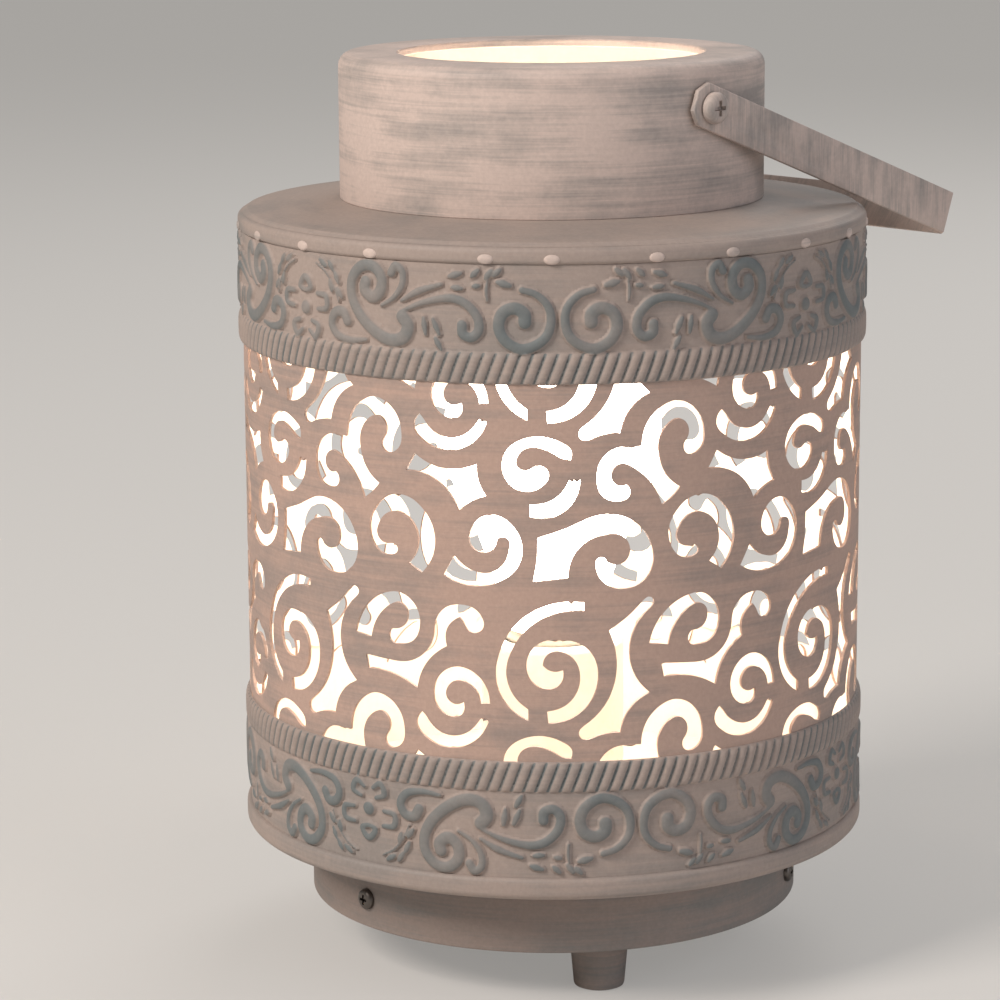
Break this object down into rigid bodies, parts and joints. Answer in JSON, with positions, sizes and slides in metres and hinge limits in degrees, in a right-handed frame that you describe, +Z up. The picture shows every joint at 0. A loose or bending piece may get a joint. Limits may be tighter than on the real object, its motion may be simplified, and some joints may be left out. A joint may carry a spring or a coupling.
{
  "type": "lantern table lamp",
  "caption": "Cylindrical pierced-metal lantern table lamp with ornament bands, an open collar, a swinging strip bail handle, peg feet and a screw-in bulb.",
  "frame": {"origin": "on the lamp's axis, in the plane that the three feet stand on", "axes": "+Z up along the lamp's axis; -Y towards the viewer of the picture; +X to that viewer's right"},
  "size_m": [0.1962, 0.1959, 0.2449],
  "materials": {
    "painted_sheet": "chalky cream-grey paint with a rubbed grey-green wash",
    "holder": "matt black moulded holder",
    "bright_metal": "plain nickel-like bulb cap and nipple",
    "contact_brass": "plain brass contacts",
    "bulb_glass": "frosted warm white bulb",
    "bush_plastic": "black bush"
  },
  "bodies": {
    "lantern": {"base_drum": "painted_sheet", "base_plate": "painted_sheet", "body_floor": "painted_sheet", "lower_band": "painted_sheet", "grille_shell": "painted_sheet", "upper_band": "painted_sheet", "shoulder_cover": "painted_sheet", "neck_collar": "painted_sheet", "pivot_screws": "painted_sheet", "feet": "painted_sheet", "holder_cap": "holder", "holder_barrel": "holder", "holder_insert": "holder", "threaded_nipple": "bright_metal", "centre_contact": "contact_brass", "cord_bush": "bush_plastic"},
    "bail": {"handle": "painted_sheet"},
    "lamp_bulb": {"bulb_glass": "bulb_glass", "bulb_cap": "bright_metal", "bulb_contact": "contact_brass"}
  },
  "joints": [
    {"name": "handle_swing", "type": "hinge", "parent": "lantern", "child": "bail", "pos_m": [0, 0, 0.2332], "axis": [0.7034, -0.7108, 0], "range_deg": [0, 220.5]},
    {"name": "bulb_out", "type": "slide", "parent": "lantern", "child": "lamp_bulb", "axis": [0, 0, 1], "range_m": [0, 0.024]}
  ]
}
